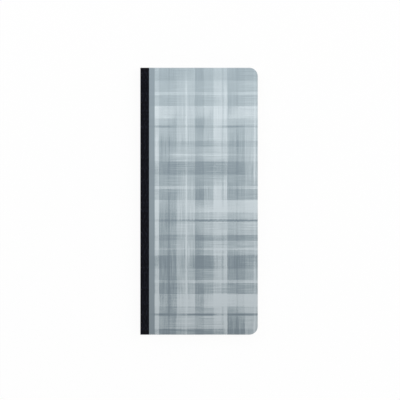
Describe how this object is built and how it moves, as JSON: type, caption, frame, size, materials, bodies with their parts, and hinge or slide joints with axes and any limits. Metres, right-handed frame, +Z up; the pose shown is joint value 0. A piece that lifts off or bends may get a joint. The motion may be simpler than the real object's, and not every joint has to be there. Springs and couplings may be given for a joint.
{
  "type": "teacher planner",
  "caption": "Tall slim sewn planner with printed card covers, a black cloth spine, rounded fore-edge corners and leaves that turn open at a spread.",
  "frame": {"origin": "under the middle of the closed book, on the surface that it lies on", "axes": "+Z up out of the front cover, +Y towards the head, +X towards the fore-edge, spine at -X"},
  "size_m": [0.11, 0.25, 0.0076],
  "materials": {
    "cover_card": "printed and laminated, satin",
    "book_cloth": "fine woven book cloth, matt",
    "leaf_paper": "smooth ivory writing paper",
    "endpaper": "plain uncoated",
    "lining_cloth": "open gauze, glued",
    "thread": "twisted white thread",
    "glue": "dry binding glue"
  },
  "bodies": {
    "back_cover": {"back_cover": "cover_card", "back_cover_cloth": "book_cloth", "back_pastedown": "endpaper", "back_side_glue": "glue"},
    "spine": {"spine_cloth": "book_cloth", "spine_lining": "lining_cloth", "spine_glue": "glue", "sewing_thread": "thread", "section_1_fold": "leaf_paper", "section_2_fold": "leaf_paper", "section_3_fold": "leaf_paper", "section_4_fold": "leaf_paper", "section_5_fold": "leaf_paper", "section_6_fold": "leaf_paper"},
    "section_1_front": {"section_1_front_leaves": "leaf_paper", "front_flyleaf": "endpaper", "front_side_glue": "glue", "front_joint_card": "cover_card", "front_joint_cloth": "book_cloth"},
    "section_1_back": {"section_1_back_leaves": "leaf_paper"},
    "section_2_front": {"section_2_front_leaves": "leaf_paper"},
    "section_2_back": {"section_2_back_leaves": "leaf_paper"},
    "section_3_front": {"section_3_front_leaves": "leaf_paper"},
    "section_3_back": {"section_3_back_leaves": "leaf_paper"},
    "section_4_front": {"section_4_front_leaves": "leaf_paper"},
    "section_4_back": {"section_4_back_leaves": "leaf_paper"},
    "section_5_front": {"section_5_front_leaves": "leaf_paper"},
    "section_5_back": {"section_5_back_leaves": "leaf_paper"},
    "section_6_front": {"section_6_front_leaves": "leaf_paper"},
    "section_6_back": {"section_6_back_leaves": "leaf_paper", "back_flyleaf": "endpaper"},
    "front_cover": {"front_cover": "cover_card", "front_cover_cloth": "book_cloth", "front_pastedown": "endpaper"}
  },
  "joints": [
    {"name": "book_open", "type": "hinge", "parent": "back_cover", "child": "spine", "pos_m": [-0.055, 0, 0], "axis": [0, -1, 0], "range_deg": [0, 89]},
    {"name": "section_1_front_turn", "type": "hinge", "parent": "spine", "child": "section_1_front", "pos_m": [-0.055, 0, 0.00763], "axis": [0, -1, 0], "range_deg": [0, 89]},
    {"name": "section_1_back_turn", "type": "hinge", "parent": "spine", "child": "section_1_back", "pos_m": [-0.055, 0, 0.00763], "axis": [0, -1, 0], "range_deg": [0, 87.93]},
    {"name": "section_2_front_turn", "type": "hinge", "parent": "spine", "child": "section_2_front", "pos_m": [-0.055, 0, 0.00763], "axis": [0, -1, 0], "range_deg": [0, 86.86]},
    {"name": "section_2_back_turn", "type": "hinge", "parent": "spine", "child": "section_2_back", "pos_m": [-0.055, 0, 0.00763], "axis": [0, -1, 0], "range_deg": [0, 85.8]},
    {"name": "section_3_front_turn", "type": "hinge", "parent": "spine", "child": "section_3_front", "pos_m": [-0.055, 0, 0.00763], "axis": [0, -1, 0], "range_deg": [0, 84.73]},
    {"name": "section_3_back_turn", "type": "hinge", "parent": "spine", "child": "section_3_back", "pos_m": [-0.055, 0, 0], "axis": [0, -1, 0], "range_deg": [-81.52, 0]},
    {"name": "section_4_front_turn", "type": "hinge", "parent": "spine", "child": "section_4_front", "pos_m": [-0.055, 0, 0], "axis": [0, -1, 0], "range_deg": [-82.59, 0]},
    {"name": "section_4_back_turn", "type": "hinge", "parent": "spine", "child": "section_4_back", "pos_m": [-0.055, 0, 0], "axis": [0, -1, 0], "range_deg": [-83.66, 0]},
    {"name": "section_5_front_turn", "type": "hinge", "parent": "spine", "child": "section_5_front", "pos_m": [-0.055, 0, 0], "axis": [0, -1, 0], "range_deg": [-84.73, 0]},
    {"name": "section_5_back_turn", "type": "hinge", "parent": "spine", "child": "section_5_back", "pos_m": [-0.055, 0, 0], "axis": [0, -1, 0], "range_deg": [-85.8, 0]},
    {"name": "section_6_front_turn", "type": "hinge", "parent": "spine", "child": "section_6_front", "pos_m": [-0.055, 0, 0], "axis": [0, -1, 0], "range_deg": [-86.86, 0]},
    {"name": "section_6_back_turn", "type": "hinge", "parent": "spine", "child": "section_6_back", "pos_m": [-0.055, 0, 0], "axis": [0, -1, 0], "range_deg": [-87.93, 0]},
    {"name": "front_cover_open", "type": "hinge", "parent": "section_1_front", "child": "front_cover", "pos_m": [-0.0503, 0, 0.00768], "axis": [0, -1, 0], "range_deg": [0, 180]}
  ],
  "couplings": [
    {"joint": "section_1_front_turn", "follows": "book_open", "ratio": 1},
    {"joint": "section_1_back_turn", "follows": "book_open", "ratio": 0.988},
    {"joint": "section_2_front_turn", "follows": "book_open", "ratio": 0.976},
    {"joint": "section_2_back_turn", "follows": "book_open", "ratio": 0.964},
    {"joint": "section_3_front_turn", "follows": "book_open", "ratio": 0.952},
    {"joint": "section_3_back_turn", "follows": "book_open", "ratio": -0.916},
    {"joint": "section_4_front_turn", "follows": "book_open", "ratio": -0.928},
    {"joint": "section_4_back_turn", "follows": "book_open", "ratio": -0.94},
    {"joint": "section_5_front_turn", "follows": "book_open", "ratio": -0.952},
    {"joint": "section_5_back_turn", "follows": "book_open", "ratio": -0.964},
    {"joint": "section_6_front_turn", "follows": "book_open", "ratio": -0.976},
    {"joint": "section_6_back_turn", "follows": "book_open", "ratio": -0.988}
  ]
}
